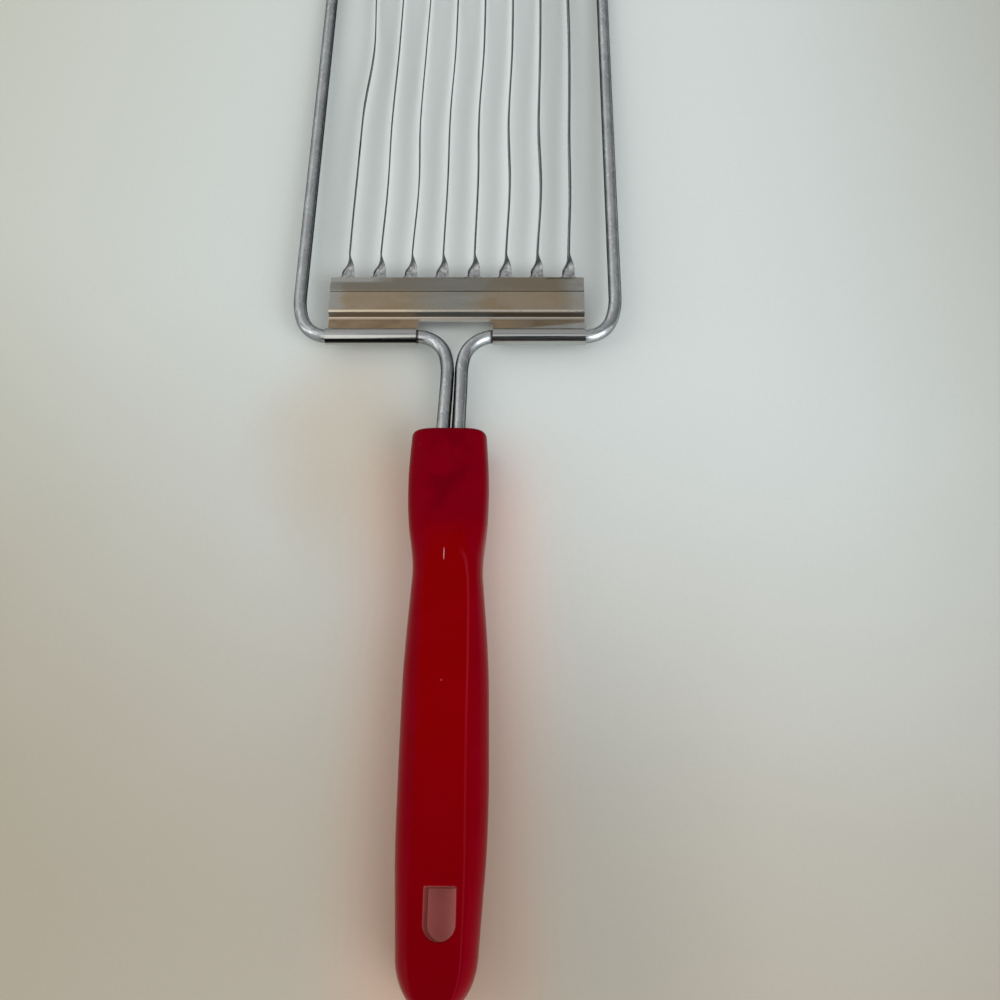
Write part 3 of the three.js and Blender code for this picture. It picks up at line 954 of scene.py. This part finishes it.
def sheet_section(line):
    """The outline of a sheet of even thickness about its middle line."""
    upper, lower = [], []
    for place, point in enumerate(line):
        here = Vector(point)
        before, after = Vector(line[max(place - 1, 0)]), Vector(line[min(place + 1, len(line) - 1)])
        into = (here - before).normalized() if place > 0 else (after - here).normalized()
        out = (after - here).normalized() if place < len(line) - 1 else into
        along = (into + out).normalized()
        offset = Vector((-along.y, along.x)) * (sheet_thickness / 2 / along.dot(out))
        upper.append(here + offset)
        lower.append(here - offset)
    return upper + lower[::-1]


def rolled_plate(name):
    """A plate as wide as the blade unit, its rolled edge on the wire at Y = 0."""
    section = sheet_section(plate_line())
    left, right = plate_offset - plate_width / 2, plate_offset + plate_width / 2
    return skin_over(name, [[(x, y, z) for y, z in section] for x in (left, right)])


def neck_cutter():
    """What the cut-out takes from the near plate: a square-ended notch with rounded corners."""
    left, right = -neck_run_x - cutout_margin, neck_run_x + cutout_margin - cutout_short
    outer = 2 * wire_diameter
    deep = cutout_depth - cutout_corner
    corners = [(right, -outer)]
    for across, start in ((right - cutout_corner, 0), (left + cutout_corner, math.pi / 2)):
        corners += arc(across, deep, cutout_corner, start, math.pi / 2, cutout_steps)
    corners.append((left, -outer))
    return skin_over("neck_cutter", [[(x, y, z) for x, y in corners] for z in (-outer, outer)])


def softened(mesh, width, limit):
    """Rounds the sharp edges of a mesh a little, as stamping and handling leave them."""
    worked = linked_piece(mesh.name, mesh)
    rounding = worked.modifiers.new("rounding", "BEVEL")
    rounding.width = width
    rounding.segments = 2
    rounding.limit_method = "ANGLE"
    rounding.angle_limit = limit
    rounding.use_clamp_overlap = True
    return settled(worked)


def stained_stainless():
    """Stainless sheet with fine lines along it. Heat and juice have left straw and brown stains in
    long bands, weaker at both ends and behind the neck, where the sheet is painted bright as a
    highlight on the cut-out's edge. It is dark and dull on the step's wall, with a dark line along
    the crease. The rolled edge is rubbed bright, and painted highlights run along the step's bends.
    The near plate has a painted dark reflection low on the front of its roll, and is dirty in
    places along its inner edge."""
    material, shader, place = new_finish("stained_stainless")
    across, ahead, rise = parts_of(place)
    along = maths("MINIMUM", ahead, minus(far_row, ahead))
    near_plate = eased(ahead, 0.08, 0.07)
    lines = cloudy(stretched(place, (0.03, 1, 1)), 6500.0, 2.0, 0.6)
    streaks = cloudy(stretched(place, (0.1, 1, 1)), 420.0, 4.0, 0.62, 0.3)
    blots = cloudy(stretched(place, (0.5, 1, 1)), 170.0, 4.0, 0.6, 0.5)
    low = eased(rise, 0.0056, 0.0046)
    upper = eased(along, 0.0124, 0.0131)
    rolled = eased(along, 0.0022, 0.0015)
    flat = minus(1.0, rolled)
    from_neck = gap(across, neck_middle)

    strayed = plus(across, maths("MULTIPLY_ADD", blots, 0.018, -0.009))
    left_stain = times(within(strayed, -0.032, -0.027, -0.016, 0.0), 0.75)
    right_stain = times(within(strayed, 0.001, 0.012, 0.024, 0.031), 0.7)
    wiped_edge = maths("MULTIPLY_ADD", across, -0.11, along)
    wiped = times(eased(wiped_edge, 0.0014, 0.0008), eased(across, 0.012, 0.016))
    low_stain = times(eased(from_neck, 0.008, 0.0095, 0.1, 0.85), minus(1.0, wiped))
    high_stain = plus(left_stain, right_stain, 0.15)
    stain = result("ShaderNodeMix", {0: low, 2: high_stain, 3: low_stain})
    stain = times(stain, maths("MULTIPLY_ADD", plus(streaks, blots), 0.7, 0.3), flat)

    steel = painted(
        mixed(eased(streaks, 0.3, 0.7), seen(156, 158, 152), seen(171, 172, 166)),
        (eased(gap(across, -0.0002), 0.0265, 0.0295), seen(182, 184, 181)),
        # Painted highlight: the low band bright behind the neck, along the edge of the cut-out.
        (times(low, eased(from_neck, 0.0095, 0.0082)), seen(202, 202, 194)),
        (rolled, seen(188, 189, 186)),
    )
    straw = mixed(eased(blots, 0.35, 0.65), seen(177, 158, 131), seen(166, 147, 118))
    olive = mixed(eased(across, 0.0, 0.02), seen(147, 135, 118), seen(143, 126, 102))
    brown = mixed(eased(blots, 0.4, 0.62), seen(167, 140, 104), seen(146, 122, 90))
    brown = mixed(eased(across, 0.008, 0.02, 0.0, 0.8), brown, seen(130, 113, 90))
    stained = painted(straw, (upper, olive), (low, brown))

    silver = times(eased(along, 0.0149, 0.0156), eased(strayed, -0.014, -0.022), 0.8)
    spots = eased(cloudy(place, 1300.0, 2.0, 0.5), 0.74, 0.8, 0.0, 0.8)
    # Painted highlight along the top bend of the step.
    fold = times(eased(rise, 0.0058, 0.006), eased(gap(along, fold_line), 0.00036, 0.0001), 0.85)
    fold_highlight_colour = mixed(eased(across, -0.014, -0.006), seen(250, 232, 206), seen(218, 209, 196))
    # Painted highlight along the foot of the step.
    foot = times(low, eased(gap(along, foot_line), 0.0004, 0.00015), 0.9)
    foot_highlight_colour = mixed(eased(across, -0.01, 0.01), seen(244, 226, 202), seen(222, 212, 198))
    # Dark and dull on the step's wall.
    on_wall = within(rise, 0.0044, 0.0047, 0.00575, 0.006)
    wall = times(on_wall, eased(gap(along, wall_line), 0.0007, 0.0005), 0.9)
    wall_dark = mixed(eased(across, -0.012, -0.008), seen(100, 84, 66), seen(36, 36, 36))
    wall_dark = mixed(eased(across, 0.008, 0.013), wall_dark, seen(56, 44, 34))
    # Painted dark reflection low on the front of the near plate's roll.
    roll_front = times(eased(along, -0.0018, -0.0021), eased(across, -0.006, -0.009), near_plate)
    roll_front_dark_reflection = times(roll_front, within(rise, 0.00643, 0.0067, 0.0073, 0.00765), 0.97)
    ragged = eased(cloudy(place, 1800.0, 2.0, 0.5), 0.42, 0.5)
    edge_middle = eased(gap(across, 0.0007), 0.0023, 0.0015)
    torn = times(eased(along, 0.01625, 0.01648), edge_middle, ragged, near_plate, 0.9)
    edge_ends = eased(gap(across, 0.0255), 0.004, 0.0028)
    colour = painted(
        mixed(stain, steel, stained),
        (times(upper, eased(across, 0.0, 0.018, 0.6, 0.1)), seen(137, 134, 124)),
        (silver, seen(190, 190, 187)),
        (times(spots, flat), seen(60, 47, 37)),
        (fold, fold_highlight_colour),
        (wall, wall_dark),
        (foot, foot_highlight_colour),
        # A dark line along the crease.
        (eased(gap(along, crease_line), 0.00018, 0.00007, 0.0, 0.8), seen(56, 49, 42)),
        (roll_front_dark_reflection, seen(26, 26, 28)),
        (torn, seen(40, 31, 26)),
        (times(eased(along, 0.0159, 0.0163), edge_ends, near_plate, 0.6), seen(66, 58, 46)),
    )
    rough = maths("MULTIPLY_ADD", rolled, -0.07, eased(lines, 0.3, 0.7, 0.17, 0.25))
    heights = maths("MULTIPLY_ADD", lines, 0.4, times(streaks, 0.8))
    set_on(shader, {
        "Base Color": colour,
        "Metallic": minus(1.0, wall),
        "Roughness": maths("MULTIPLY_ADD", stain, 0.12, rough),
        "Normal": bumped(heights, 0.2, 0.00002),
    })
    return material


plate_finish = stained_stainless()


def finished_plate(mesh, node):
    """Rounds a plate's edges, gives it its finish and puts it in its node's place."""
    mesh = softened(mesh, edge_round, edge_round_angle)
    mesh.name = node
    mesh.materials.clear()
    mesh.materials.append(plate_finish)
    smooth_up_to(mesh, plate_sharp_angle)
    piece = linked_piece("rolled_" + node, mesh)
    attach(piece, "root")
    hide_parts(node)


finished_plate(cut_away(rolled_plate("lower"), [neck_cutter()]), "lower_end_plate")
far_plate = rolled_plate("upper")
far_place = Matrix.Translation((far_plate_shift + 2 * plate_offset, far_row, 0))
far_plate.transform(far_place @ Matrix.Rotation(math.pi, 4, "Z"))
finished_plate(far_plate, "upper_end_plate")

# Blades
# Eight strips slit from the same sheet. Each leaves its plate flat, with a small fillet, is
# twisted on edge, and runs to the other plate as a blade with ground teeth along its lower edge.
# Use has bowed them a little to the side.
blade_count = 8
blade_pitch = 0.0079
blade_depth = 0.0031
twist_length = 0.006
blade_twist = math.radians(82)
root_radius = 0.0006
tooth_pitch = 0.0025
tooth_depth = 0.00045
ground_edge = 0.00012
ground_width = 0.0009
slit_ease = 0.00004
caked_place = 0.0565
fold_start = -0.0015
fold_curve = 80.0
blade_length = frame_reach - 2 * plate_reach
blade_step = 0.00025
blade_sharp_angle = math.radians(35)
blade_bows = [
    (-0.005, -0.025, 0.12),
    (0.05, -0.01, 0.01),
    (0.075, -0.04, -0.025),
    (0.025, -0.03, 0.02),
    (0.03, -0.04, 0.02),
    (0.08, -0.025, 0.02),
    (0.11, 0, 0.01),
    (0.07, 0.045, 0.04),
]
bow_places = (0.24, 0.48, 0.68)
bow_reach = 0.22


def twisted_blade_tree():
    """Draws the strip's section out along the blade, twists it on edge at both ends, bows it and
    cuts its teeth."""
    floats = [
        "Length", "Step", "Start", "Across", "Strip width", "Thickness", "Twist", "Twist length",
        "Root radius", "Tooth pitch", "Tooth depth", "Ground width", "Ground edge", "Near bow",
        "Middle bow", "Far bow", "Drift", "Level",
    ]
    tree, named, given = new_tree("twisted_blade", {
        **{label: "Float" for label in floats},
        "Finish": "Material",
    })

    line = result("GeometryNodeCurvePrimitiveLine", {"End": place_at(0.0, given["Length"], 0.0)})
    path, along = stepped(tree, line, given["Step"])
    section, spot = kept(tree, given["Geometry"], "InputPosition", 0, "VECTOR")
    swept = swept_along(path, section)
    across, out, _ = parts_of(spot)

    from_end = maths("MINIMUM", along, minus(given["Length"], along))
    share = maths("DIVIDE", along, given["Length"])
    twist_end = plus(given["Root radius"], given["Twist length"])
    on_edge = eased(from_end, given["Root radius"], twist_end)
    angle = times(on_edge, given["Twist"])
    short = maths("MAXIMUM", minus(given["Root radius"], from_end), 0.0)
    squared = minus(times(given["Root radius"], given["Root radius"]), times(short, short))
    fillet = minus(given["Root radius"], maths("SQRT", squared))
    half = maths("DIVIDE", given["Strip width"], 2.0)
    flared = times(across, plus(maths("DIVIDE", fillet, half), 1.0))

    bare_ends = times(plus(given["Twist length"], times(given["Root radius"], 2.0)), 2.0)
    toothed_length = minus(given["Length"], bare_ends)
    teeth = maths("FLOOR", maths("DIVIDE", toothed_length, given["Tooth pitch"]))
    margin = maths("DIVIDE", minus(given["Length"], times(teeth, given["Tooth pitch"])), 2.0)
    cycle = maths("DIVIDE", minus(along, margin), given["Tooth pitch"])
    notch = gap(maths("SINE", times(cycle, math.pi)))
    toothed = maths("GREATER_THAN", from_end, margin)
    lowness = result("ShaderNodeMapRange", {
        "Value": across,
        "From Min": minus(given["Ground width"], half),
        "From Max": times(half, -1.0),
    })
    cut = times(notch, toothed, times(given["Tooth depth"], lowness))
    height = plus(flared, cut)
    thinning = minus(1.0, maths("DIVIDE", given["Ground edge"], given["Thickness"]))
    thin = minus(1.0, times(thinning, times(lowness, on_edge)))
    side = times(out, thin)

    sideways = plus(given["Across"], times(given["Drift"], eased(share, 0.0, 1.0)))
    for label, place in zip(("Near bow", "Middle bow", "Far bow"), bow_places):
        away = maths("MINIMUM", maths("DIVIDE", gap(share, place), bow_reach), 1.0)
        hump = maths("COSINE", times(away, math.pi / 2))
        sideways = plus(sideways, times(given[label], times(hump, hump)))
    sine, cosine = maths("SINE", angle), maths("COSINE", angle)
    x = plus(sideways, minus(times(height, cosine), times(side, sine)))
    z = plus(given["Level"], plus(times(height, sine), times(side, cosine)))
    place = place_at(x, plus(along, given["Start"]), z)
    moved = result("GeometryNodeSetPosition", {"Geometry": swept, "Position": place})
    end_tree(tree, moved, "on_strip", place_at(across, along, on_edge), given["Finish"])
    return tree, named


def worn_blade_steel():
    """Stainless strip, pale where it leaves the plate flat and painted darker as shade along the
    blade, where it stands on edge, with a painted shade line along the fold of the twist and
    spots of old juice."""
    material, shader, place = new_finish("worn_blade_steel")
    width_place, along, on_edge = parts_of(stored_place(shader, "on_strip"))
    across, ahead, _ = parts_of(place)
    lines = cloudy(stretched(place, (1, 0.04, 1)), 5200.0, 2.0, 0.6)
    blots = cloudy(stretched(place, (1, 0.35, 1)), 300.0, 4.0, 0.6, 0.3)
    specks = cloudy(place, 1100.0, 3.0, 0.6, 0.4)
    flat = mixed(eased(specks, 0.4, 0.62), seen(190, 194, 196), seen(150, 148, 146))
    # Painted shade: darker where the strip stands on edge along the blade.
    dark = mixed(eased(lines, 0.3, 0.7), seen(92, 94, 96), seen(116, 118, 120))
    from_end = maths("MINIMUM", along, minus(blade_length, along))
    # Painted shade in a line along the fold of the twist.
    fold_shade_line = maths("MULTIPLY_ADD", times(from_end, from_end), fold_curve, fold_start)
    twist_fold_shade = eased(gap(minus(width_place, fold_shade_line)), 0.0004, 0.00012, 0.0, 0.85)
    twist_fold_shade = times(twist_fold_shade, eased(on_edge, 0.97, 0.8))
    caked = times(
        eased(across, -0.0215, -0.0235),
        eased(gap(ahead, caked_place), 0.0042, 0.002, 0.0, 0.9),
        eased(maths("MULTIPLY_ADD", specks, 0.0016, width_place), 0.0006, 0.0018),
    )
    colour = painted(
        mixed(eased(on_edge, 0.35, 0.8), flat, dark),
        (twist_fold_shade, seen(52, 46, 42)),
        (eased(blots, 0.6, 0.7, 0.0, 0.6), seen(84, 68, 54)),
        (caked, seen(38, 30, 26)),
    )
    set_on(shader, {
        "Base Color": colour,
        "Metallic": 1.0,
        "Roughness": eased(blots, 0.3, 0.7, 0.28, 0.45),
        "Normal": bumped(maths("MULTIPLY_ADD", lines, 0.5, blots), 0.3, 0.00003),
    })
    return material


def strip_section():
    """The strip's section: flat faces, a line of points where the grinding starts, and edges
    eased by the slitting."""
    half, thick = blade_depth / 2, sheet_thickness / 2
    low, high = -half + slit_ease, half - slit_ease
    across = [low, -half + ground_width / 2, -half + ground_width, 0, half - ground_width, high]
    front = [(x, thick, 0) for x in across]
    back = [(x, -thick, 0) for x in reversed(across)]
    upper_edge = [(half, thick - slit_ease, 0), (half, slit_ease - thick, 0)]
    lower_edge = [(-half, slit_ease - thick, 0), (-half, thick - slit_ease, 0)]
    return front + upper_edge + back + lower_edge


blade_tree, blade_named = twisted_blade_tree()
blade_finish = worn_blade_steel()
strip_plan = curve_through("strip_plan", strip_section(), closed=True)
for number, (near_bow, middle_bow, far_bow) in enumerate(blade_bows):
    node = "blade_%d" % (number + 1)
    blade_mesh = formed("twisted_" + node, strip_plan, blade_tree, blade_named, {
        "Length": blade_length,
        "Step": blade_step,
        "Start": plate_reach + row_shift,
        "Across": (number - (blade_count - 1) / 2) * blade_pitch,
        "Strip width": blade_depth,
        "Thickness": sheet_thickness,
        "Twist": blade_twist,
        "Twist length": twist_length,
        "Root radius": root_radius,
        "Tooth pitch": tooth_pitch,
        "Tooth depth": tooth_depth,
        "Ground width": ground_width,
        "Ground edge": ground_edge,
        "Near bow": near_bow * blade_pitch,
        "Middle bow": middle_bow * blade_pitch,
        "Far bow": far_bow * blade_pitch,
        "Drift": far_plate_shift,
        "Level": wire_level,
        "Finish": blade_finish,
    })
    smooth_up_to(blade_mesh, blade_sharp_angle)
    blade = linked_piece("twisted_" + node, blade_mesh)
    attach(blade, "root")
    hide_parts(node)
